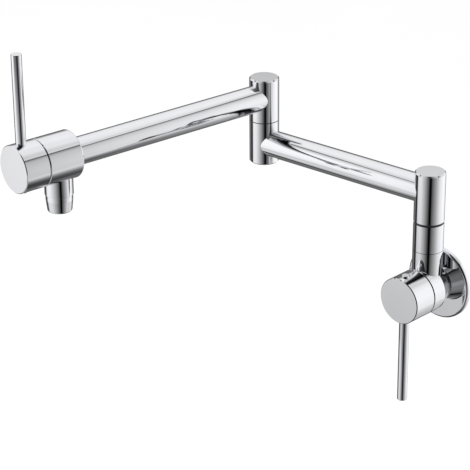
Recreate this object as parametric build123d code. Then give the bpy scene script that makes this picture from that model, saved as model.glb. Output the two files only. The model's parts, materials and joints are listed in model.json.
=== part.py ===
from build123d import *

import math
import os

# Wall mounted pot filler with two swinging arms and two quarter-turn valves, in millimetres.
# The origin is the centre of the flange's back face, on the wall: +Z is up and -Y points out of the wall.
# The photographed pose is the rest pose: the lower arm lies along the wall, the upper arm points out from it.

# Driving dimensions: the tubes and posts
TUBE_R = 13.3
TUBE_WALL = 1.5
POST_R = 14.7
POST_EDGE = 1.2  # bevel round the open end of a post
SEAM_EDGE = 0.3  # bevel over a parting line

# Driving dimensions: where the axes are
POST_OUT = 20.8  # wall to the axis of the wall post
LOWER_ARM_Z = 100.4
UPPER_ARM_Z = 147.5
ARM_SPAN = 198.8  # wall post to elbow post
LOWER_ARM_TURN = 5.0  # degrees that the lower arm leans out from the wall
UPPER_ARM_TURN = -6.9  # degrees that the upper arm leans from square to the wall

# Driving dimensions: the wall post and the elbow post, as heights
SLEEVE_BOTTOM = 41.4
SLEEVE_TOP = 69.1
BASE_WASHER = 2.0
BASE_TOP = 120.6
ELBOW_BOTTOM = 80.1
ELBOW_SPLIT = 123.8
ELBOW_WASHER = 0.5
ELBOW_TOP = 167.9

# Driving dimensions: the two valves, along their own axes
BARREL_R = 22.8
BARREL_EDGE = 0.5
WALL_BARREL_BACK = 19.2
WALL_BARREL_FRONT = 35.6
OUTLET_BARREL_BACK = 228.9
OUTLET_BARREL_FRONT = 265.2
NECK_R = 17.0  # where the neck goes through the flange
HANDLE_LENGTH = 25.5
HANDLE_SEAM = 0.6  # gap between a valve body and its handle
LEVER_R = 4.9
LEVER_BACK = 9.3  # from the handle's face to the lever's axis
LEVER_REACH = 108.4  # from the valve's axis to the lever's end

# Driving dimensions: the flange and the inlet
FLANGE_R = 36.5
FLANGE_THICK = 4.6
FLANGE_ROUND = 2.4
INLET_R = 10.48  # outside of a half inch pipe thread
INLET_BORE_R = 7.0
INLET_DEPTH = 20.0  # how far the nipple reaches into the wall

# Driving dimensions: the spout
NOZZLE_AT = 243.6  # from the elbow's axis
NOZZLE_R = 13.5
NOZZLE_BOTTOM = -36.2
SPOUT_BOTTOM = -52.7

# Driving dimensions: fits and waterways
RUNNING = 0.05  # radial clearance of a turning fit, and the gap over a bearing washer
CUT = 1.0  # how far a cutting solid runs past the face that it opens
SPINDLE_R = 10.0
SPINDLE_THREAD_R = 9.0
SPINDLE_BORE_R = 5.5
CHAMBER_R = 12.0  # water chamber in a post, and the port from it into a tube
PORT_R = 7.0
CAVITY_R = 14.5  # hole in a valve body for its cartridge
CAVITY_DEPTH = 21.0
SEAT_PORT_R = 5.0
SIDE_PORT_R = 4.2


def heading(degrees):
    """Level direction that is this many degrees round from +X towards +Y."""
    return Vector(math.cos(math.radians(degrees)), math.sin(math.radians(degrees)), 0)


def level_frame(origin, direction):
    """Frame whose z runs along a level direction and whose y points up."""
    return Plane(origin=origin, x_dir=Vector(0, 0, 1).cross(direction), z_dir=direction)


LOWER_HEADING = heading(180 + LOWER_ARM_TURN)
UPPER_HEADING = heading(-90 + UPPER_ARM_TURN)
POST_FOOT = Vector(0, -POST_OUT, 0)
ELBOW_FOOT = POST_FOOT + LOWER_HEADING * ARM_SPAN

VALVE_FRAME = level_frame((0, 0, 0), Vector(0, -1, 0))
LOWER_FRAME = level_frame(POST_FOOT + Vector(0, 0, LOWER_ARM_Z), LOWER_HEADING)
UPPER_FRAME = level_frame(ELBOW_FOOT + Vector(0, 0, UPPER_ARM_Z), UPPER_HEADING)
POST_FRAME = Plane(origin=POST_FOOT)
ELBOW_FRAME = Plane(origin=ELBOW_FOOT)


def ahead(frame, distance):
    """The same frame, moved along its own z."""
    return Plane(origin=frame.origin + frame.z_dir * distance, x_dir=frame.x_dir, z_dir=frame.z_dir)


def crossing(frame, distance, upwards=True):
    """Frame whose z stands up, or hangs down, from a point along another frame's axis."""
    side = 1 if upwards else -1
    origin = frame.origin + frame.z_dir * distance
    return Plane(origin=origin, x_dir=frame.x_dir * side, z_dir=frame.y_dir * side)


def turned(frame, profile, rounds=()):
    """Solid of revolution about a frame's z from (radius, height) corners; rounds are (corner, radius)."""
    section = make_face(Polyline(*[(r, 0, h) for r, h in profile], close=True))
    for corner, radius in rounds:
        spot = Vector(profile[corner][0], 0, profile[corner][1])
        section = fillet(section.vertices().sort_by_distance(spot)[0], radius)
    return frame.location * revolve(section, Axis.Z, 360)


def rod(frame, radius, low, high):
    return turned(frame, [(0, low), (radius, low), (radius, high), (0, high)])


def ring(frame, inner, outer, low, high, low_edge=0.0, high_edge=0.0):
    """Hollow cylinder with a bevel on either outer rim."""
    profile = [(inner, low), (outer - low_edge, low)]
    if low_edge:
        profile.append((outer, low + low_edge))
    if high_edge:
        profile.append((outer, high - high_edge))
    profile += [(outer - high_edge, high), (inner, high)]
    return turned(frame, profile)


def box_at(frame, size, centre):
    return frame.location * Pos(*centre) * Box(*size)


# --- Wall flange and inlet ---------------------------------------------------------------------------

FLANGE_RECESS = 1.5  # the flange's middle stands this far off the wall
GASKET_IN, GASKET_OUT, GASKET_THICK = 28.5, 33.5, 3.0
GASKET_ROOM = 0.1
GASKET_SHOULDER = 22.0
INLET_LEAD = 1.5
INLET_COLLAR_R = 12.0
COLLAR_BACK, COLLAR_FRONT = 1.0, 4.0
INLET_END = 12.0
INLET_INNER_R = 10.0


def wall_flange():
    """Round plate with a mirror face and a rounded rim, hollow behind."""
    hole = NECK_R + RUNNING
    groove_out = GASKET_OUT + GASKET_ROOM
    profile = [
        (hole, FLANGE_RECESS),
        (GASKET_SHOULDER, FLANGE_RECESS),
        (GASKET_SHOULDER, GASKET_THICK),
        (groove_out, GASKET_THICK),
        (groove_out, 0),
        (FLANGE_R, 0),
        (FLANGE_R, FLANGE_THICK),
        (hole, FLANGE_THICK),
    ]
    return turned(VALVE_FRAME, profile, rounds=[(6, FLANGE_ROUND)])


def flange_gasket():
    return ring(VALVE_FRAME, GASKET_IN, GASKET_OUT, 0, GASKET_THICK)


def inlet_nipple():
    """Threaded brass nipple: into the wall behind, into the valve body in front, with a collar between."""
    profile = [
        (INLET_BORE_R, -INLET_DEPTH),
        (INLET_R - INLET_LEAD, -INLET_DEPTH),
        (INLET_R, -INLET_DEPTH + INLET_LEAD),
        (INLET_R, COLLAR_BACK),
        (INLET_COLLAR_R, COLLAR_BACK),
        (INLET_COLLAR_R, COLLAR_FRONT),
        (INLET_INNER_R, COLLAR_FRONT),
        (INLET_INNER_R, INLET_END),
        (INLET_BORE_R, INLET_END),
    ]
    return turned(VALVE_FRAME, profile)


# --- Valve bodies ------------------------------------------------------------------------------------

NECK_BACK = 0.8
NECK_CLEAR = 0.4  # the taper starts this far off the flange
WALL_BARREL_BACK_EDGE = 1.2
STUB_BORE_BOTTOM = 26.0
COLLAR_ROOM = 0.5


def valve_body():
    """Wall valve's body: barrel, tapered neck through the flange, and the stub that carries the post."""
    seat = WALL_BARREL_FRONT - CAVITY_DEPTH
    edges = (WALL_BARREL_BACK_EDGE, BARREL_EDGE)
    barrel = ring(VALVE_FRAME, 0, BARREL_R, WALL_BARREL_BACK, WALL_BARREL_FRONT, *edges)
    shoulder_r = BARREL_R - WALL_BARREL_BACK_EDGE
    neck = turned(
        VALVE_FRAME,
        [
            (0, NECK_BACK),
            (NECK_R, NECK_BACK),
            (NECK_R, FLANGE_THICK + NECK_CLEAR),
            (shoulder_r, WALL_BARREL_BACK),
            (shoulder_r, WALL_BARREL_BACK + CUT),
            (0, WALL_BARREL_BACK + CUT),
        ],
    )
    stub = rod(POST_FRAME, POST_R, 0, SLEEVE_BOTTOM)
    body = barrel + neck + stub
    body -= rod(VALVE_FRAME, CAVITY_R, seat, WALL_BARREL_FRONT + CUT)
    body -= rod(VALVE_FRAME, SEAT_PORT_R, INLET_END - CUT, seat + CUT)
    body -= rod(VALVE_FRAME, INLET_INNER_R, COLLAR_FRONT, INLET_END)
    body -= rod(VALVE_FRAME, INLET_COLLAR_R + COLLAR_ROOM, NECK_BACK - CUT, COLLAR_FRONT)
    body -= rod(POST_FRAME, SIDE_PORT_R, 0, STUB_BORE_BOTTOM + CUT)
    body -= rod(POST_FRAME, SPINDLE_THREAD_R, STUB_BORE_BOTTOM, SLEEVE_BOTTOM + CUT)
    return body


TUBE_SOCKET = 7.0
OUTLET_BARREL_ROUND = 1.6
NOZZLE_BORE_R = 10.0
NOZZLE_BORE_TOP = -26.0
OUTLET_SEAT = OUTLET_BARREL_FRONT - CAVITY_DEPTH
OUTLET_PORT_AT = OUTLET_SEAT + SIDE_PORT_R + 0.5  # just in front of the seat, so that the valve shuts it


def outlet_body():
    """Outlet valve's body: barrel with a socket for the tube behind and the nozzle stub below."""
    nozzle_frame = crossing(UPPER_FRAME, NOZZLE_AT)
    port_frame = crossing(UPPER_FRAME, OUTLET_PORT_AT)
    barrel = turned(
        UPPER_FRAME,
        [
            (0, OUTLET_BARREL_BACK),
            (BARREL_R, OUTLET_BARREL_BACK),
            (BARREL_R, OUTLET_BARREL_FRONT - BARREL_EDGE),
            (BARREL_R - BARREL_EDGE, OUTLET_BARREL_FRONT),
            (0, OUTLET_BARREL_FRONT),
        ],
        rounds=[(1, OUTLET_BARREL_ROUND)],
    )
    body = barrel + ring(nozzle_frame, 0, NOZZLE_R, NOZZLE_BOTTOM, 0, SEAM_EDGE)
    body -= rod(UPPER_FRAME, CAVITY_R, OUTLET_SEAT, OUTLET_BARREL_FRONT + CUT)
    body -= rod(UPPER_FRAME, SEAT_PORT_R, OUTLET_BARREL_BACK, OUTLET_SEAT + CUT)
    body -= rod(UPPER_FRAME, TUBE_R, OUTLET_BARREL_BACK - CUT, OUTLET_BARREL_BACK + TUBE_SOCKET)
    body -= rod(port_frame, SIDE_PORT_R, NOZZLE_BORE_TOP - CUT, 0)
    body -= rod(nozzle_frame, NOZZLE_BORE_R, NOZZLE_BOTTOM - CUT, NOZZLE_BORE_TOP)
    return body


# --- Ceramic shut-off cartridge, the same in both valves ------------------------------------------------
# Heights here are measured from the body's front plane, so that those inside the body are negative.

SEAL_IN, SEAL_OUT = 5.0, 8.5
SEAL_TOP = -CAVITY_DEPTH + 1.5
DISC_R, DISC_THICK = 8.9, 3.5
DISC_PORT_R, DISC_PORT_AT = 2.5, 4.8
SHELL_IN, SHELL_OUT = 9.0, 12.0
SHELL_RIM_R = 13.5
SHELL_ROOF, SHELL_SHOULDER = -10.0, -8.0
SHELL_INNER_ROOF = -9.4
WINDOW_AT, WINDOW_WIDTH, WINDOW_HEIGHT = -14.0, 8.0, 4.0
GUIDE_R, GUIDE_TOP = 8.0, -1.0
NUT_BORE_R, NUT_EDGE = 9.0, 0.5
NUT_SLOT_WIDTH, NUT_SLOT_DEPTH = 3.0, 1.2
FOOT_R = 8.5
STEM_R, STEM_SQUARE = 4.95, 7.0
STEM_SQUARE_FROM, STEM_TOP = 3.0, 20.6


def disc_with_ports(frame, low, turn):
    """Ceramic disc with two round ports; turn is where the ports lie."""
    disc = rod(frame, DISC_R, low, low + DISC_THICK)
    for side in (0, 180):
        hole = Rot(0, 0, turn + side) * Pos(DISC_PORT_AT, 0, low + DISC_THICK / 2)
        disc -= frame.location * hole * Cylinder(DISC_PORT_R, DISC_THICK + 2 * CUT)
    return disc


def cartridge_shell(frame):
    """Cartridge housing: cup over the discs with two side windows, and a guide for the stem."""
    shell = turned(
        frame,
        [
            (SHELL_IN, -CAVITY_DEPTH),
            (SHELL_OUT, -CAVITY_DEPTH),
            (SHELL_OUT, SHELL_ROOF),
            (SHELL_RIM_R, SHELL_ROOF),
            (SHELL_RIM_R, SHELL_SHOULDER),
            (GUIDE_R, SHELL_SHOULDER),
            (GUIDE_R, GUIDE_TOP),
            (STEM_R + RUNNING, GUIDE_TOP),
            (STEM_R + RUNNING, SHELL_INNER_ROOF),
            (SHELL_IN, SHELL_INNER_ROOF),
        ],
    )
    return shell - box_at(frame, (2 * (SHELL_OUT + CUT), WINDOW_WIDTH, WINDOW_HEIGHT), (0, 0, WINDOW_AT))


def gland_nut(frame):
    """Ring nut that clamps the cartridge, with two slots for its spanner."""
    nut = ring(frame, NUT_BORE_R, CAVITY_R, SHELL_SHOULDER, GUIDE_TOP, 0, NUT_EDGE)
    return nut - box_at(frame, (2 * (CAVITY_R + CUT), NUT_SLOT_WIDTH, 2 * NUT_SLOT_DEPTH), (0, 0, GUIDE_TOP))


def valve_stem(frame):
    """Stem with a driving foot on the moving disc and a square end in the handle."""
    foot_low = SEAL_TOP + 2 * DISC_THICK + RUNNING
    square_low = STEM_SQUARE_FROM - CUT
    stem = rod(frame, FOOT_R, foot_low, SHELL_ROOF)
    stem += rod(frame, STEM_R, SHELL_ROOF - CUT / 2, STEM_SQUARE_FROM)
    square = (STEM_SQUARE, STEM_SQUARE, STEM_TOP - square_low)
    return stem + box_at(frame, square, (0, 0, (square_low + STEM_TOP) / 2))


# --- Handles, the same on both valves -------------------------------------------------------------------

CAP_SKIN, CAP_FACE_SKIN = 3.8, 4.0
CAP_EDGE = 0.7
BOSS_R = 9.5
LEVER_INNER, LEVER_TIP_R = 5.0, 3.0
LEVER_SHOULDER = BOSS_R + 0.5
LEVER_ROUND = 0.8
SCREW_R, SCREW_LENGTH = 2.5, 5.5
SCREW_HEX_R, SCREW_HEX_DEPTH = 1.5, 2.2
PLUG_R, PLUG_BACK = 3.0, 19.2
PLUG_HEAD_R, PLUG_HEAD, PLUG_ROUND = 4.0, 1.6, 0.9


def handle_cap(frame, lever_frame, screw_frame):
    """Cap over the valve's front: a skin, a boss on the stem, and holes for the lever and the screw."""
    low, high = HANDLE_SEAM, HANDLE_SEAM + HANDLE_LENGTH
    boss_end, outside = BOSS_R + CUT, BARREL_R + CUT
    cap = ring(frame, 0, BARREL_R, low, high, BARREL_EDGE, CAP_EDGE)
    cap -= ring(frame, BOSS_R, BARREL_R - CAP_SKIN, low - CUT, high - CAP_FACE_SKIN)
    cap -= rod(frame, boss_end, low - CUT, STEM_SQUARE_FROM)
    cap -= box_at(frame, (STEM_SQUARE, STEM_SQUARE, STEM_TOP), (0, 0, STEM_TOP / 2))
    cap -= rod(lever_frame, LEVER_TIP_R, LEVER_INNER, boss_end)
    cap -= rod(lever_frame, LEVER_R, boss_end, outside)
    cap -= rod(screw_frame, SCREW_R, 0, boss_end)
    return cap - rod(screw_frame, PLUG_R, boss_end, outside)


def handle_lever(lever_frame):
    """Round lever, screwed into the cap's boss."""
    return turned(
        lever_frame,
        [
            (0, LEVER_INNER),
            (LEVER_TIP_R, LEVER_INNER),
            (LEVER_TIP_R, LEVER_SHOULDER),
            (LEVER_R, LEVER_SHOULDER),
            (LEVER_R, LEVER_REACH),
            (0, LEVER_REACH),
        ],
        rounds=[(4, LEVER_ROUND)],
    )


def grub_screw(screw_frame):
    """Screw that locks the cap to the stem's flat, with a hexagon socket."""
    low = STEM_SQUARE / 2
    socket = extrude(RegularPolygon(SCREW_HEX_R, 6), SCREW_HEX_DEPTH, both=True)
    return rod(screw_frame, SCREW_R, low, low + SCREW_LENGTH) - (
        screw_frame.location * Pos(0, 0, low + SCREW_LENGTH) * socket
    )


def screw_plug(frame, screw_frame):
    """Small round button that hides the screw; its head sits on the cap's curve."""
    low, high = HANDLE_SEAM, HANDLE_SEAM + HANDLE_LENGTH
    plug = turned(
        screw_frame,
        [
            (0, PLUG_BACK),
            (PLUG_HEAD_R, PLUG_BACK),
            (PLUG_HEAD_R, BARREL_R + PLUG_HEAD),
            (0, BARREL_R + PLUG_HEAD),
        ],
        rounds=[(2, PLUG_ROUND)],
    )
    return plug - (rod(frame, BARREL_R, low, high) - rod(screw_frame, PLUG_R, 0, BARREL_R + CUT))


def handle_parts(frame, lever_up):
    """Handle cap, lever, grub screw and screw plug, from the body's front plane outwards."""
    lever_at = HANDLE_SEAM + HANDLE_LENGTH - LEVER_BACK
    lever_frame = crossing(frame, lever_at, lever_up)
    screw_frame = crossing(frame, lever_at, not lever_up)
    return {
        "handle_cap": handle_cap(frame, lever_frame, screw_frame),
        "lever": handle_lever(lever_frame),
        "grub_screw": grub_screw(screw_frame),
        "screw_plug": screw_plug(frame, screw_frame),
    }


def valve_parts(frame, front, lever_up):
    """Everything that drops into a valve body whose front plane is this far along the frame."""
    face = ahead(frame, front)
    parts = {
        "disc_seal": ring(face, SEAL_IN, SEAL_OUT, -CAVITY_DEPTH, SEAL_TOP),
        "fixed_disc": disc_with_ports(face, SEAL_TOP, 0),
        "cartridge": cartridge_shell(face),
        "gland_nut": gland_nut(face),
        "moving_disc": disc_with_ports(face, SEAL_TOP + DISC_THICK + RUNNING, 90),
        "stem": valve_stem(face),
    }
    parts.update(handle_parts(face, lever_up))
    return parts


# --- Swivel joints ---------------------------------------------------------------------------------------

ORING_R = 0.875
ORING_GROOVE_R, ORING_GROOVE = 8.2, 2.4
ORING_ROOM = 0.02
CLIP_THICK = 1.2
CLIP_GROOVE_R, CLIP_OUT = 8.8, 11.5
CLIP_GAP = 4.0
SPINDLE_NOSE = 2.5  # pivot above its snap ring
SPINDLE_EDGE = 0.5


def spindle_profile(thread_low, shoulder, step, oring_heights):
    """Outline of a hollow pivot: thread below the shoulder, seal grooves, and a clip groove over the step."""
    clip_low = step + RUNNING
    clip_high = clip_low + CLIP_THICK
    top = clip_high + SPINDLE_NOSE
    outline = [
        (SPINDLE_BORE_R, thread_low),
        (SPINDLE_THREAD_R, thread_low),
        (SPINDLE_THREAD_R, shoulder),
        (SPINDLE_R, shoulder),
    ]
    for height in oring_heights:
        low, high = height - ORING_GROOVE / 2, height + ORING_GROOVE / 2
        outline += [(SPINDLE_R, low), (ORING_GROOVE_R, low), (ORING_GROOVE_R, high), (SPINDLE_R, high)]
    return outline + [
        (SPINDLE_R, clip_low),
        (CLIP_GROOVE_R, clip_low),
        (CLIP_GROOVE_R, clip_high),
        (SPINDLE_R, clip_high),
        (SPINDLE_R, top - SPINDLE_EDGE),
        (SPINDLE_R - SPINDLE_EDGE, top),
        (SPINDLE_BORE_R, top),
    ]


def swivel_parts(frame, thread_low, shoulder, step, oring_heights):
    """Hollow pivot, its two rubber rings and the snap ring that holds the turning socket down."""
    clip_low = step + RUNNING
    clip = ring(frame, CLIP_GROOVE_R, CLIP_OUT, clip_low, clip_low + CLIP_THICK)
    clip -= box_at(frame, (CLIP_OUT, CLIP_GAP, 2 * CLIP_THICK), (CLIP_OUT, 0, clip_low + CLIP_THICK / 2))
    centre_r = ORING_GROOVE_R + ORING_R + ORING_ROOM
    rings = [frame.location * Pos(0, 0, height) * Torus(centre_r, ORING_R) for height in oring_heights]
    return turned(frame, spindle_profile(thread_low, shoulder, step, oring_heights)), rings, clip


def post_shell(frame, ends, edges, bore, chamber, port_frame):
    """Tube of a post with its bore and water chamber, each (radius, low, high), and the port to an arm."""
    shell = ring(frame, 0, POST_R, *ends, *edges)
    shell -= rod(frame, *bore)
    shell -= rod(frame, *chamber)
    return shell - rod(port_frame, PORT_R, 0, POST_R + CUT)


PLUG_INSET_R, PLUG_INSET = 13.4, 3.5
CHAMBER_END = 2.0  # chamber stops this far inside the plugged end


def end_plug(frame, face, outwards):
    """Disc that closes a post's open end, flush inside the bevelled rim."""
    low, high = sorted((face, face - outwards * PLUG_INSET))
    return rod(frame, PLUG_INSET_R, low, high)


def plug_seat(frame, face, outwards):
    """Cut for that disc."""
    low, high = sorted((face + outwards * CUT, face - outwards * PLUG_INSET))
    return rod(frame, PLUG_INSET_R, low, high)


PORT_REST = 0.2  # a chamber starts this far under the port
BASE_STEP = LOWER_ARM_Z - PORT_R - PORT_REST
BASE_ORINGS = (76.0, 86.0)
BASE_SOCKET_LOW = SLEEVE_TOP + BASE_WASHER + RUNNING
BASE_WASHER_INSET = 1.1
ELBOW_STEP = UPPER_ARM_Z - PORT_R - PORT_REST
ELBOW_ORINGS = (128.5, 135.5)
ELBOW_UPPER_LOW = ELBOW_SPLIT + ELBOW_WASHER + RUNNING
ELBOW_WASHER_INSET = 0.4
ELBOW_THREAD_LOW = 110.5


def base_post():
    """Wall post: fixed sleeve and pivot, bearing washer, and the socket that turns with the lower arm."""
    spindle, rings, clip = swivel_parts(POST_FRAME, STUB_BORE_BOTTOM, SLEEVE_BOTTOM, BASE_STEP, BASE_ORINGS)
    bore = (SPINDLE_R + RUNNING, BASE_SOCKET_LOW - CUT, BASE_STEP + CUT)
    chamber = (CHAMBER_R, BASE_STEP, BASE_TOP - CHAMBER_END)
    ends = (BASE_SOCKET_LOW, BASE_TOP)
    socket = post_shell(POST_FRAME, ends, (SEAM_EDGE, POST_EDGE), bore, chamber, LOWER_FRAME)
    washer_r = POST_R - BASE_WASHER_INSET
    return {
        "post_sleeve": ring(POST_FRAME, SPINDLE_R, POST_R, SLEEVE_BOTTOM, SLEEVE_TOP, SEAM_EDGE),
        "base_spindle": spindle,
        "base_orings": rings,
        "base_thrust_washer": ring(POST_FRAME, SPINDLE_R, washer_r, SLEEVE_TOP, SLEEVE_TOP + BASE_WASHER),
        "base_retaining_ring": clip,
        "base_socket": socket - plug_seat(POST_FRAME, BASE_TOP, 1),
        "base_socket_cap": end_plug(POST_FRAME, BASE_TOP, 1),
    }


def elbow_post():
    """Elbow post: lower half on the lower arm with the pivot, upper half that turns with the upper arm."""
    spindle, rings, clip = swivel_parts(ELBOW_FRAME, ELBOW_THREAD_LOW, ELBOW_SPLIT, ELBOW_STEP, ELBOW_ORINGS)
    towards_base = level_frame(ELBOW_FOOT + Vector(0, 0, LOWER_ARM_Z), -LOWER_HEADING)
    thread = (SPINDLE_THREAD_R, ELBOW_THREAD_LOW - CUT, ELBOW_SPLIT + CUT)
    chamber = (CHAMBER_R, ELBOW_BOTTOM + CHAMBER_END, ELBOW_THREAD_LOW)
    ends = (ELBOW_BOTTOM, ELBOW_SPLIT)
    lower = post_shell(ELBOW_FRAME, ends, (POST_EDGE, 0), thread, chamber, towards_base)
    bore = (SPINDLE_R + RUNNING, ELBOW_UPPER_LOW - CUT, ELBOW_STEP + CUT)
    chamber = (CHAMBER_R, ELBOW_STEP, ELBOW_TOP - CHAMBER_END)
    ends = (ELBOW_UPPER_LOW, ELBOW_TOP)
    upper = post_shell(ELBOW_FRAME, ends, (SEAM_EDGE, POST_EDGE), bore, chamber, UPPER_FRAME)
    washer_r = POST_R - ELBOW_WASHER_INSET
    return {
        "elbow_lower": lower - plug_seat(ELBOW_FRAME, ELBOW_BOTTOM, -1),
        "elbow_plug": end_plug(ELBOW_FRAME, ELBOW_BOTTOM, -1),
        "elbow_spindle": spindle,
        "elbow_orings": rings,
        "elbow_thrust_washer": ring(ELBOW_FRAME, SPINDLE_R, washer_r, ELBOW_SPLIT, ELBOW_SPLIT + ELBOW_WASHER),
        "elbow_retaining_ring": clip,
        "elbow_upper": upper - plug_seat(ELBOW_FRAME, ELBOW_TOP, 1),
        "elbow_cap": end_plug(ELBOW_FRAME, ELBOW_TOP, 1),
    }


def arm_tubes():
    """The two round tubes, coped to the posts that they are brazed to."""
    lower = ring(LOWER_FRAME, TUBE_R - TUBE_WALL, TUBE_R, 0, ARM_SPAN)
    lower -= rod(POST_FRAME, POST_R, 0, BASE_TOP + CUT)
    lower -= rod(ELBOW_FRAME, POST_R, 0, ELBOW_TOP + CUT)
    upper = ring(UPPER_FRAME, TUBE_R - TUBE_WALL, TUBE_R, 0, OUTLET_BARREL_BACK + TUBE_SOCKET)
    upper -= rod(ELBOW_FRAME, POST_R, 0, ELBOW_TOP + CUT)
    return {"lower_tube": lower, "upper_tube": upper}


# --- Aerator ---------------------------------------------------------------------------------------------

AERATOR_TOP_R, AERATOR_BOTTOM_R = 12.8, 11.5
AERATOR_BAND = 5.2  # straight part below the nozzle, before the taper
AERATOR_ROUND = 1.4
AERATOR_BORE_R, AERATOR_LIP_R = 9.4, 8.6
AERATOR_LIP = 1.2
AERATOR_THREAD_TOP = NOZZLE_BOTTOM + 6.5
INSERT_TOP = AERATOR_THREAD_TOP - 1
WASHER_IN = 7.2
CELL_R, CELL_STEP, CELL_RINGS = 1.1, 3.3, 2


def aerator_parts():
    """Aerator in the nozzle: threaded housing, jet-breaking insert with a pattern of holes, and a washer."""
    frame = crossing(UPPER_FRAME, NOZZLE_AT)
    insert_low = SPOUT_BOTTOM + AERATOR_LIP
    housing = turned(
        frame,
        [
            (AERATOR_BORE_R, AERATOR_THREAD_TOP),
            (NOZZLE_BORE_R, AERATOR_THREAD_TOP),
            (NOZZLE_BORE_R, NOZZLE_BOTTOM),
            (AERATOR_TOP_R, NOZZLE_BOTTOM),
            (AERATOR_TOP_R, NOZZLE_BOTTOM - AERATOR_BAND),
            (AERATOR_BOTTOM_R, SPOUT_BOTTOM),
            (AERATOR_LIP_R, SPOUT_BOTTOM),
            (AERATOR_LIP_R, insert_low),
            (AERATOR_BORE_R, insert_low),
        ],
        rounds=[(5, AERATOR_ROUND)],
    )
    cells = [
        Pos(CELL_STEP * (column + row / 2), CELL_STEP * row * math.sqrt(3) / 2, (insert_low + INSERT_TOP) / 2)
        for row in range(-CELL_RINGS, CELL_RINGS + 1)
        for column in range(-CELL_RINGS, CELL_RINGS + 1)
        if abs(row + column) <= CELL_RINGS
    ]
    insert = rod(frame, AERATOR_BORE_R, insert_low, INSERT_TOP)
    for cell in cells:
        insert -= frame.location * cell * Cylinder(CELL_R, INSERT_TOP - insert_low + 2 * CUT)
    washer = ring(frame, WASHER_IN, AERATOR_BORE_R, INSERT_TOP, NOZZLE_BORE_TOP)
    return {"aerator_housing": housing, "aerator_insert": insert, "aerator_washer": washer}


# --- The whole object --------------------------------------------------------------------------------------

def all_parts():
    parts = {
        "wall_flange": wall_flange(),
        "flange_gasket": flange_gasket(),
        "inlet_nipple": inlet_nipple(),
        "valve_body": valve_body(),
        "outlet_body": outlet_body(),
    }
    parts.update(base_post())
    parts.update(elbow_post())
    parts.update(arm_tubes())
    parts.update(aerator_parts())
    for prefix, frame, front, lever_up in (
        ("wall", VALVE_FRAME, WALL_BARREL_FRONT, False),
        ("outlet", UPPER_FRAME, OUTLET_BARREL_FRONT, True),
    ):
        for name, solid in valve_parts(frame, front, lever_up).items():
            parts[f"{prefix}_{name}"] = solid
    return parts


os.makedirs("parts", exist_ok=True)
for name, shape in all_parts().items():
    solids = shape if isinstance(shape, list) else shape.solids()
    export_step(Compound(children=list(solids)), f"parts/{name}.step")
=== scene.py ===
import json
import math

import bmesh
import bpy
from mathutils import Matrix, Vector


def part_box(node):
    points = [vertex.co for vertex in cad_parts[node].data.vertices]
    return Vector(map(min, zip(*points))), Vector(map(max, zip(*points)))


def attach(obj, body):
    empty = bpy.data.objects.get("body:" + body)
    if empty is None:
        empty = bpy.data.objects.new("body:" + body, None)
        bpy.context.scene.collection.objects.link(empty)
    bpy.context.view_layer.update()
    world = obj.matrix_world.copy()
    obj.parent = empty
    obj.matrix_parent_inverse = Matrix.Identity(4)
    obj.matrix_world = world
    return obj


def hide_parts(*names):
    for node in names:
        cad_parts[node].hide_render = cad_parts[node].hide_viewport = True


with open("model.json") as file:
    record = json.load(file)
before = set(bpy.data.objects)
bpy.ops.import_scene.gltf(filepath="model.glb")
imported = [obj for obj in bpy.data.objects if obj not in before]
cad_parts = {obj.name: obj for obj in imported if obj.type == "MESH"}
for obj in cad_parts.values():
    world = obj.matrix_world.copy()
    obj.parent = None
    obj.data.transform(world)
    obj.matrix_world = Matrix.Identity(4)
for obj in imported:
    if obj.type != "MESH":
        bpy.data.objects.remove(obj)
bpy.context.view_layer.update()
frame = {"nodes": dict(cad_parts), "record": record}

bpy.context.scene.view_settings.view_transform = "Standard"

# ---------------------------------------------------------------- camera
AZIMUTH, ELEVATION, ROLL = 0.783076, 0.431509, -0.008097  # radians; at azimuth 0 it looks along +Y
CAMERA_AT = Vector((1.120137, -1.404571, 0.872222))
FOCAL_PX, FRAME_PX = 2068.5, 470.0  # focal length, and the picture's width, in pixels
SENSOR = 36.0  # millimetres
CAMERA_REACH = 20  # metres


def link(thing):
    bpy.context.scene.collection.objects.link(thing)
    return thing


def add_camera():
    back = Vector((math.sin(AZIMUTH) * math.cos(ELEVATION), -math.cos(AZIMUTH) * math.cos(ELEVATION),
                   math.sin(ELEVATION)))
    right = (-back).cross(Vector((0, 0, 1))).normalized()
    up = right.cross(-back)
    c, s = math.cos(ROLL), math.sin(ROLL)
    right, up = c * right + s * up, c * up - s * right
    turn = Matrix((right, up, back)).transposed().to_4x4()
    data = bpy.data.cameras.new("camera")
    data.sensor_width = SENSOR
    data.lens = FOCAL_PX / FRAME_PX * SENSOR
    data.clip_end = CAMERA_REACH
    camera = link(bpy.data.objects.new("camera", data))
    camera.matrix_world = Matrix.Translation(CAMERA_AT) @ turn
    bpy.context.scene.camera = camera


add_camera()


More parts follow.
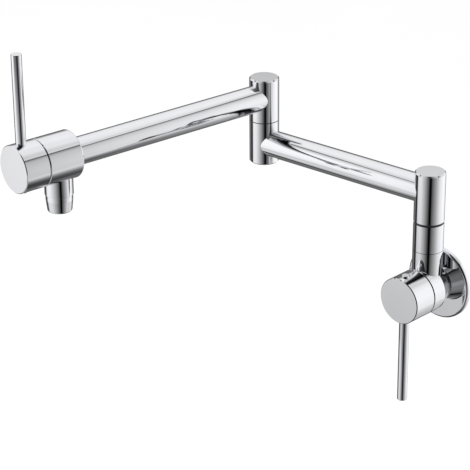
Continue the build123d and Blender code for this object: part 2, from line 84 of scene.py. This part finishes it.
# ---------------------------------------------------------------- node helpers
class Tree:
    """A material's or world's nodes, with short calls for adding and wiring them."""

    def __init__(self, block):
        self.nodes, self.links = block.node_tree.nodes, block.node_tree.links
        self.nodes.clear()

    def add(self, kind, inputs=None, **props):
        node = self.nodes.new(kind)
        for key, value in props.items():
            setattr(node, key, value)
        for key, value in (inputs or {}).items():
            self.put(node.inputs[key], value)
        return node

    def put(self, socket, value):
        if isinstance(value, bpy.types.NodeSocket):
            self.links.new(value, socket)
        else:
            socket.default_value = value

    def place(self):
        return self.add("ShaderNodeTexCoord").outputs["Object"]

    def split(self, vector):
        return self.add("ShaderNodeSeparateXYZ", {"Vector": vector}).outputs

    def math(self, operation, *values):
        node = self.add("ShaderNodeMath", operation=operation)
        for socket, value in zip(node.inputs, values):
            self.put(socket, value)
        return node.outputs[0]

    def times(self, one, two):
        return self.math("MULTIPLY", one, two)

    def plus(self, one, two):
        return self.math("ADD", one, two)

    def ramp(self, value, low, high, to_low, to_high):
        """The value's range from low to high moved to another range, and held at its ends."""
        node = self.add("ShaderNodeMapRange", {"Value": value, "From Min": low, "From Max": high,
                                               "To Min": to_low, "To Max": to_high})
        return node.outputs[0]

    def noise(self, vector, scale, detail, rough=0.5):
        node = self.add("ShaderNodeTexNoise", {"Vector": vector, "Scale": scale, "Detail": detail,
                                               "Roughness": rough})
        return node.outputs[0]

    def stretched(self, vector, scale):
        return self.add("ShaderNodeMapping", {"Vector": vector, "Scale": scale}).outputs[0]

    def mix(self, factor, one, two):
        node = self.add("ShaderNodeMix", data_type="RGBA")
        for name, value in (("Factor_Float", factor), ("A_Color", one), ("B_Color", two)):
            self.put(next(s for s in node.inputs if s.identifier == name), value)
        return next(s for s in node.outputs if s.identifier == "Result_Color")

    def bump(self, height, strength, distance):
        node = self.add("ShaderNodeBump", {"Height": height, "Strength": strength, "Distance": distance})
        return node.outputs[0]

    def surface(self, shader):
        out = self.add("ShaderNodeOutputMaterial")
        self.links.new(shader, out.inputs["Surface"])


def linear(level):
    """The linear value of an sRGB level from 0 to 255."""
    v = level / 255
    return v / 12.92 if v <= 0.04045 else ((v + 0.055) / 1.055) ** 2.4


def grey(level):
    return (linear(level),) * 3 + (1,)


def new_tree(name):
    material = bpy.data.materials.new(name)
    material.use_nodes = True
    return material, Tree(material)


def finished(material, t, colour, rough, normal, metallic=1.0):
    """The material, with its colour, roughness and bump wired to one shader."""
    shader = t.add("ShaderNodeBsdfPrincipled", {"Base Color": colour, "Metallic": metallic,
                                                "Roughness": rough, "Normal": normal})
    t.surface(shader.outputs[0])
    return material


# ---------------------------------------------------------------- materials
NOISE_RANGE = (0.3, 0.7)  # nearly all values of a noise texture are between these

CHROME_DIM, CHROME_BRIGHT = (0.822, 0.826, 0.856, 1), (0.878, 0.881, 0.906, 1)
CHROME_ROUGH = (0.03, 0.055)
WIPE_STRETCH, WIPE_ROUGH = (900, 900, 60), 0.012  # fine upright marks of wiping
SPOT_RANGE, SPOT_COLOUR = (0.66, 0.8), (0.7, 0.7, 0.69, 1)  # small dull spots
SPOT_SHARE, SPOT_ROUGH = 0.12, 0.05
POLISH_SHARE, WIPE_SHARE = 0.8, 0.05  # of the bump's height
SEAM_HEIGHT, SEAM_FADE = 0.0004, 0.0002  # painted shade in a parting: the height of its dark line, and the soft edge above it
# painted shade of the parting's gap: how strongly it darkens the chrome, and the grey it darkens to
SEAM_SHADE_SHARE, SEAM_SHADE_LEVEL = 0.92, 40

BRASS_CLEAN, BRASS_TARNISHED = (0.80, 0.58, 0.27, 1), (0.52, 0.34, 0.13, 1)
BRASS_LINE, BRASS_LINE_SHARE, BRASS_LINE_ROUGH = (0.88, 0.70, 0.40, 1), 0.25, 0.05
BRASS_ROUGH, TARNISH_RANGE = (0.22, 0.38), (0.35, 0.7)

STEEL_DARK, STEEL_PALE = (0.42, 0.43, 0.45, 1), (0.62, 0.62, 0.63, 1)
STEEL_ROUGH, DRAWN_STRETCH = (0.22, 0.4), (1500, 1500, 90)


def chrome(name, seam=None):
    """Bright chromium plate: faint haze where cloths have wiped it, dull spots and a trace of uneven
    polish. At the height of a seam, painted shade darkens the colour in a thin line along the parting."""
    material, t = new_tree(name)
    at = t.place()
    haze = t.noise(at, scale=38, detail=4, rough=0.6)
    wipe = t.noise(t.stretched(at, WIPE_STRETCH), scale=1.0, detail=3, rough=0.6)
    spots = t.ramp(t.noise(at, scale=260, detail=3, rough=0.55), *SPOT_RANGE, 0, 1)
    colour = t.mix(haze, CHROME_DIM, CHROME_BRIGHT)
    colour = t.mix(t.times(spots, SPOT_SHARE), colour, SPOT_COLOUR)
    if seam is not None:
        # painted shade: a thin dark band at the foot of the piece, where the gap of the parting lies in
        # shade
        line_top = seam + SEAM_HEIGHT
        seam_shade = t.ramp(t.split(at)["Z"], line_top, line_top + SEAM_FADE, SEAM_SHADE_SHARE, 0)
        colour = t.mix(seam_shade, colour, grey(SEAM_SHADE_LEVEL))
    rough = t.plus(t.ramp(haze, *NOISE_RANGE, *CHROME_ROUGH), t.times(wipe, WIPE_ROUGH))
    rough = t.plus(rough, t.times(spots, SPOT_ROUGH))
    polish = t.noise(at, scale=55, detail=2)
    height = t.plus(t.times(polish, POLISH_SHARE), t.times(wipe, WIPE_SHARE))
    return finished(material, t, colour, rough, t.bump(height, strength=0.05, distance=0.0004))


def brass(name):
    """Machined brass: fine tool lines, tarnish in patches."""
    material, t = new_tree(name)
    at = t.place()
    lines = t.add("ShaderNodeTexWave", {"Vector": at, "Scale": 900.0, "Distortion": 0.4, "Detail": 2.0},
                  wave_type="BANDS", bands_direction="DIAGONAL").outputs[0]
    tarnish = t.noise(at, scale=60, detail=5, rough=0.6)
    colour = t.mix(t.ramp(tarnish, *TARNISH_RANGE, 0, 1), BRASS_CLEAN, BRASS_TARNISHED)
    colour = t.mix(t.times(lines, BRASS_LINE_SHARE), colour, BRASS_LINE)
    rough = t.plus(t.ramp(tarnish, *NOISE_RANGE, *BRASS_ROUGH), t.times(lines, BRASS_LINE_ROUGH))
    return finished(material, t, colour, rough, t.bump(lines, strength=0.12, distance=0.0001))


def steel(name):
    """Spring steel: grey, drawn grain, slightly blued."""
    material, t = new_tree(name)
    at = t.place()
    grain = t.noise(t.stretched(at, DRAWN_STRETCH), scale=1.0, detail=3, rough=0.6)
    patch = t.noise(at, scale=120, detail=4, rough=0.6)
    colour = t.mix(patch, STEEL_DARK, STEEL_PALE)
    rough = t.ramp(grain, *NOISE_RANGE, *STEEL_ROUGH)
    return finished(material, t, colour, rough, t.bump(grain, strength=0.15, distance=0.0001))


def moulded(name, levels, rough, speck, depth):
    """Rubber, acetal or ceramic: fine mottling between two grey levels, a little gloss variation and a fine
    grain, whose scale is speck and whose height is depth."""
    material, t = new_tree(name)
    at = t.place()
    mottle = t.noise(at, scale=90, detail=4, rough=0.6)
    grain = t.noise(at, scale=speck, detail=2)
    colour = t.mix(t.ramp(mottle, *NOISE_RANGE, 0, 1), grey(levels[0]), grey(levels[1]))
    roughness = t.ramp(grain, *NOISE_RANGE, *rough)
    normal = t.bump(grain, strength=0.25, distance=depth)
    return finished(material, t, colour, roughness, normal, metallic=0.0)


finishes = {
    "polished_chrome": chrome("polished_chrome_finish"),
    "plain_brass": brass("plain_brass_finish"),
    "spring_steel": steel("spring_steel_finish"),
    "black_rubber": moulded("black_rubber_finish", (30, 44), rough=(0.5, 0.7), speck=2500, depth=0.00006),
    "dark_acetal": moulded("dark_acetal_finish", (38, 54), rough=(0.32, 0.45), speck=1800, depth=0.00004),
    "white_acetal": moulded("white_acetal_finish", (226, 238), rough=(0.3, 0.42), speck=1800, depth=0.00004),
    "white_ceramic": moulded("white_ceramic_finish", (232, 243), rough=(0.08, 0.16), speck=3000,
                             depth=0.00002),
}
# the sleeve's chrome carries painted shade in a thin line at its lower edge, where it meets the part below
sleeve_chrome = chrome("sleeve_chrome_finish", seam=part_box("post_sleeve")[0][2])
for part in frame["record"]["subparts"]:
    mesh = frame["nodes"][part["node"]].data
    mesh.materials.clear()
    finish = sleeve_chrome if part["node"] == "post_sleeve" else finishes[part["material_slot"]]
    mesh.materials.append(finish)


# ---------------------------------------------------------------- threaded inlet
THREAD_PITCH, THREAD_DEPTH = 0.001814, 0.00116  # half-inch pipe thread, 14 turns to the inch
THREAD_ROOT, THREAD_FLANK = 0.1, 0.8  # shares of half a pitch; the rest is the flat crest
THREAD_R, THREAD_LEAD = 0.01048, 0.0015  # crest of the thread, and the bevel where it starts
INLET_BORE_R, INLET_INNER_R, COLLAR_R = 0.007, 0.01, 0.012
COLLAR_BACK, COLLAR_FRONT = 0.001, 0.004  # distances out from the wall
TURN_STEPS, PITCH_STEPS = 72, 8


def thread_radius(along, angle):
    """Radius of the pipe thread's surface, cut down by a bevel at its open end."""
    wave = abs((along / THREAD_PITCH + angle / math.tau) % 1 - 0.5) * 2
    flank = min(max((wave - THREAD_ROOT) / THREAD_FLANK, 0), 1)
    return min(THREAD_R - THREAD_DEPTH * (1 - flank), THREAD_R - THREAD_LEAD + along)


def add_threaded_nipple():
    """Brass nipple with a real helical thread, in the place of the plain one."""
    low_corner, high_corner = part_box("inlet_nipple")
    inner_end, wall_end = low_corner[1], high_corner[1]
    length = wall_end + COLLAR_BACK
    rows = round(length / THREAD_PITCH * PITCH_STEPS)
    angles = [math.tau * i / TURN_STEPS for i in range(TURN_STEPS)]
    mesh = bmesh.new()

    def ring(y, radii):
        return [mesh.verts.new((math.cos(a) * r, y, math.sin(a) * r)) for a, r in zip(angles, radii)]

    rings = []
    for row in range(rows + 1):
        along = length * row / rows
        rings.append(ring(wall_end - along, [thread_radius(along, a) for a in angles]))
    for radius, y in ((COLLAR_R, -COLLAR_BACK), (COLLAR_R, -COLLAR_FRONT), (INLET_INNER_R, -COLLAR_FRONT),
                      (INLET_INNER_R, inner_end), (INLET_BORE_R, inner_end), (INLET_BORE_R, wall_end)):
        rings.append(ring(y, [radius] * TURN_STEPS))
    for one, two in zip(rings, rings[1:] + rings[:1]):
        for i in range(TURN_STEPS):
            j = (i + 1) % TURN_STEPS
            mesh.faces.new((one[i], one[j], two[j], two[i]))
    bmesh.ops.recalc_face_normals(mesh, faces=mesh.faces)
    data = bpy.data.meshes.new("threaded_nipple")
    mesh.to_mesh(data)
    mesh.free()
    data.materials.append(finishes["plain_brass"])
    piece = link(bpy.data.objects.new("threaded_nipple", data))
    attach(piece, "wall_side")
    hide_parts("inlet_nipple")


add_threaded_nipple()

# ---------------------------------------------------------------- studio
# The object stands in a round room of grey cards that only its reflections show. Each list below gives sRGB
# levels from 0 to 255, as the plate shows them, at rising azimuths, heights or distances out. Azimuths are
# in degrees from the camera, and rise towards its right; heights and distances are in metres.
VIEW = math.degrees(AZIMUTH)  # the room is turned so that its azimuth 0 points at the camera
MIDDLE = (-0.09, -0.10, 0.0)
FLOOR_Z = -0.62
ROOM_R, ROOM_TOP = 1.0, 1.5
PLATE = 0.857  # how much light the chromium plate sends back

AROUND = [
    (-180, 100), (-125, 108), (-117, 65), (-108, 65),  # rear wall, then a dark flag
    (-103, 215), (-88, 235), (-68, 225),  # left softbox
    (-18, 115), (0, 6), (12, 8),  # its fall-off, and the dark card at the camera
    (15, 66), (45, 155), (78, 230),  # rise towards the right
    (110, 252), (126, 240), (150, 110), (180, 100)]  # right softbox, and the rear wall again
UP_LEFT = [(-0.62, 206), (-0.2, 238), (0, 247), (0.6, 246), (0.83, 224), (1.11, 190),
           (1.13, 104), (1.24, 104), (1.27, 214), (1.5, 228)]  # a dark rail runs near the top
UP_RIGHT = [(-0.62, 220), (0, 240), (0.35, 236), (0.85, 208), (1.12, 152),
            (1.14, 96), (1.25, 96), (1.28, 206), (1.5, 214)]
UP_REAR = [(-0.62, 230), (0.5, 230), (1.5, 238)]
FULL_LEVEL = 230  # where AROUND has this level, the levels up the wall stay as they are
FLOOR_RINGS = [(0, 45), (0.24, 66), (0.42, 120), (0.6, 172), (0.8, 208), (1.0, 218)]
CEILING_RINGS = [(0, 222), (0.6, 230), (1.0, 240)]
CEILING_AWAY = [(0, 10), (20, 90), (60, 190), (90, 208), (112, 230), (150, 242)]  # by azimuth, either side

SIDES_CROSS, REAR_CROSS = (-20, 20), (108, 132)  # azimuths where one list up the wall gives way to the next
EVEN_Z, EVEN_AZIMUTH = (0.3, 0.62), (98, 108)  # above and behind these AROUND has no effect
FOOT_Z, FOOT_AZIMUTH, FOOT_CUT = (-0.34, -0.52), (-70, -82), 0.2  # darker foot, left and behind
FRONT_Z, FRONT_CUT = (-0.16, 0.02), 0.88  # dark upper part on the camera's side
FRONT_LEFT, FRONT_RIGHT = (-70, -55), (50, 35)

DARK_LEVEL = 34  # a small upright card on the left
DARK_WIDTH, DARK_LOW, DARK_HIGH, DARK_OUT = 0.13, -0.3, 0.1, 0.45
DARK_MIDDLE, DARK_AZIMUTH = (-0.09, -0.035, 0), -115
CARD_LIFT = 0.004  # the floor's card lies this far above the floor

FLOOR_GRID, FLOOR_DIM, FLOOR_PALE = 6.0, (0.80, 0.80, 0.80, 1), (0.84, 0.84, 0.84, 1)
FLOOR_GLOW = 0.45  # added where it is seen, not where it lights the object
WORLD_FILL, WORLD_SEEN = 0.62, 1.0  # strength of the pale world as light, and as a background
LAMP_AT, LAMP_TOWARD = (-0.9, -1.3, 1.7), (-0.1, -0.15, 0.05)
LAMP_SIZE, LAMP_WATTS = 0.9, 16


def card(name, verts, faces, shade, at, turn):
    """A grey studio card that only reflections see. Its level in the plate is the linear value shade, or
    what shade(tree, object_coordinates) gives."""
    mesh = bpy.data.meshes.new(name)
    mesh.from_pydata(verts, [], faces)
    thing = link(bpy.data.objects.new(name, mesh))
    thing.matrix_world = Matrix.Translation(at) @ Matrix.Rotation(math.radians(turn), 4, "Z")
    material, t = new_tree(name)
    strength = t.math("DIVIDE", shade(t, t.place()), PLATE) if callable(shade) else shade / PLATE
    t.surface(t.add("ShaderNodeEmission", {"Strength": strength}).outputs[0])
    mesh.materials.append(material)
    thing.visible_camera = thing.visible_diffuse = thing.visible_transmission = False
    thing.visible_shadow = thing.visible_volume_scatter = False


def stops(t, value, levels):
    """Greys (sRGB levels) at rising places of a value, blended between them."""
    low, high = levels[0][0], levels[-1][0]
    node = t.add("ShaderNodeValToRGB", {"Fac": t.ramp(value, low, high, 0, 1)})
    ramp = node.color_ramp
    ramp.elements[0].color = grey(levels[0][1])
    ramp.elements[1].color = grey(levels[-1][1])
    for place, level in levels[1:-1]:
        ramp.elements.new((place - low) / (high - low)).color = grey(level)
    return node.outputs[0]


def round_wall(radius, low, high, steps=96):
    """An upright card all the way round."""
    verts, faces = [], []
    for i in range(steps + 1):
        a = math.radians(-180 + 360 * i / steps)
        x, y = radius * math.sin(a), -radius * math.cos(a)
        verts += [(x, y, low), (x, y, high)]
    for i in range(steps):
        faces.append((2 * i, 2 * i + 2, 2 * i + 3, 2 * i + 1))
    return verts, faces


def square(width, low, high, out):
    w = width / 2
    return [(-w, -out, low), (w, -out, low), (w, -out, high), (-w, -out, high)], [(0, 1, 2, 3)]


def disc(radius, z, steps=64):
    turns = [2 * math.pi * i / steps for i in range(steps)]
    return [(radius * math.cos(a), radius * math.sin(a), z) for a in turns], [tuple(range(steps))]


def azimuth_of(t, at):
    x, y, _ = t.split(at)
    return t.times(t.math("ARCTAN2", x, t.times(y, -1.0)), 180 / math.pi)


def distance_out(t, at):
    x, y, _ = t.split(at)
    return t.math("SQRT", t.plus(t.times(x, x), t.times(y, y)))


def blend(t, one, two, factor):
    """one where the factor is 0, two where it is 1."""
    return t.plus(t.times(one, t.math("SUBTRACT", 1.0, factor)), t.times(two, factor))


def without(t, level, cut):
    return t.times(level, t.math("SUBTRACT", 1.0, cut))


def wall_shade(t, at):
    """Round wall of the room: black towards the camera, pale at the sides, grey behind the tap."""
    z = t.split(at)["Z"]
    azimuth = azimuth_of(t, at)
    turned_away = t.math("ABSOLUTE", azimuth)
    sides = blend(t, stops(t, z, UP_LEFT), stops(t, z, UP_RIGHT), t.ramp(azimuth, *SIDES_CROSS, 0, 1))
    upward = blend(t, sides, stops(t, z, UP_REAR), t.ramp(turned_away, *REAR_CROSS, 0, 1))
    share = t.math("DIVIDE", stops(t, azimuth, AROUND), linear(FULL_LEVEL))
    even = t.times(t.ramp(z, *EVEN_Z, 0, 1), t.ramp(turned_away, *EVEN_AZIMUTH, 0, 1))
    level = t.times(upward, blend(t, share, 1.0, even))
    foot = t.times(t.ramp(z, *FOOT_Z, 0, FOOT_CUT), t.ramp(azimuth, *FOOT_AZIMUTH, 0, 1))
    front = t.times(t.ramp(z, *FRONT_Z, 0, FRONT_CUT), t.ramp(azimuth, *FRONT_LEFT, 0, 1))
    front = t.times(front, t.ramp(azimuth, *FRONT_RIGHT, 0, 1))
    return without(t, without(t, level, front), foot)


def floor_shade(t, at):
    """Dark in the middle, paler outwards, and nowhere above the wall's level at that azimuth."""
    rings = stops(t, distance_out(t, at), FLOOR_RINGS)
    return t.math("MINIMUM", rings, stops(t, azimuth_of(t, at), AROUND))


def ceiling_shade(t, at):
    """Pale, and dark towards the camera."""
    rings = stops(t, distance_out(t, at), CEILING_RINGS)
    turned_away = t.math("ABSOLUTE", azimuth_of(t, at))
    return t.math("MINIMUM", rings, stops(t, turned_away, CEILING_AWAY))


card("card_wall", *round_wall(ROOM_R, FLOOR_Z, ROOM_TOP), wall_shade, MIDDLE, VIEW)
card("card_ceiling", *disc(ROOM_R, ROOM_TOP), ceiling_shade, MIDDLE, VIEW)
card("card_floor", *disc(ROOM_R, FLOOR_Z + CARD_LIFT), floor_shade, MIDDLE, VIEW)
card("card_left", *square(DARK_WIDTH, DARK_LOW, DARK_HIGH, DARK_OUT), linear(DARK_LEVEL), DARK_MIDDLE,
     VIEW + DARK_AZIMUTH)


def seen_rays(t):
    """1 for the rays that see the background, which are those of the camera, of gloss and of glass."""
    path = t.add("ShaderNodeLightPath")
    gloss = t.math("MAXIMUM", path.outputs["Is Glossy Ray"], path.outputs["Is Transmission Ray"])
    return t.math("MAXIMUM", path.outputs["Is Camera Ray"], gloss)


def add_floor():
    bm = bmesh.new()
    bmesh.ops.create_grid(bm, x_segments=2, y_segments=2, size=FLOOR_GRID)
    mesh = bpy.data.meshes.new("floor")
    bm.to_mesh(mesh)
    bm.free()
    floor = link(bpy.data.objects.new("floor", mesh))
    floor.location = (0, 0, FLOOR_Z)
    material, t = new_tree("floor")
    colour = t.mix(t.noise(t.place(), scale=3, detail=3), FLOOR_DIM, FLOOR_PALE)
    diffuse = t.add("ShaderNodeBsdfDiffuse", {"Color": colour}).outputs[0]
    glow = t.add("ShaderNodeEmission", {"Strength": t.times(seen_rays(t), FLOOR_GLOW)}).outputs[0]
    t.surface(t.add("ShaderNodeAddShader", {0: diffuse, 1: glow}).outputs[0])
    mesh.materials.append(material)


def add_world():
    world = bpy.data.worlds.new("studio")
    world.use_nodes = True
    bpy.context.scene.world = world
    t = Tree(world)
    strength = t.ramp(seen_rays(t), 0, 1, WORLD_FILL, WORLD_SEEN)
    light = t.add("ShaderNodeBackground", {"Color": (1, 1, 1, 1), "Strength": strength})
    out = t.add("ShaderNodeOutputWorld")
    t.links.new(light.outputs[0], out.inputs["Surface"])


def add_lamp():
    data = bpy.data.lights.new("key", "AREA")
    data.shape, data.size, data.energy = "SQUARE", LAMP_SIZE, LAMP_WATTS
    lamp = link(bpy.data.objects.new("key", data))
    turn = (Vector(LAMP_AT) - Vector(LAMP_TOWARD)).to_track_quat("Z", "Y").to_matrix().to_4x4()
    lamp.matrix_world = Matrix.Translation(LAMP_AT) @ turn
    lamp.visible_glossy = False


add_world()
add_floor()
add_lamp()
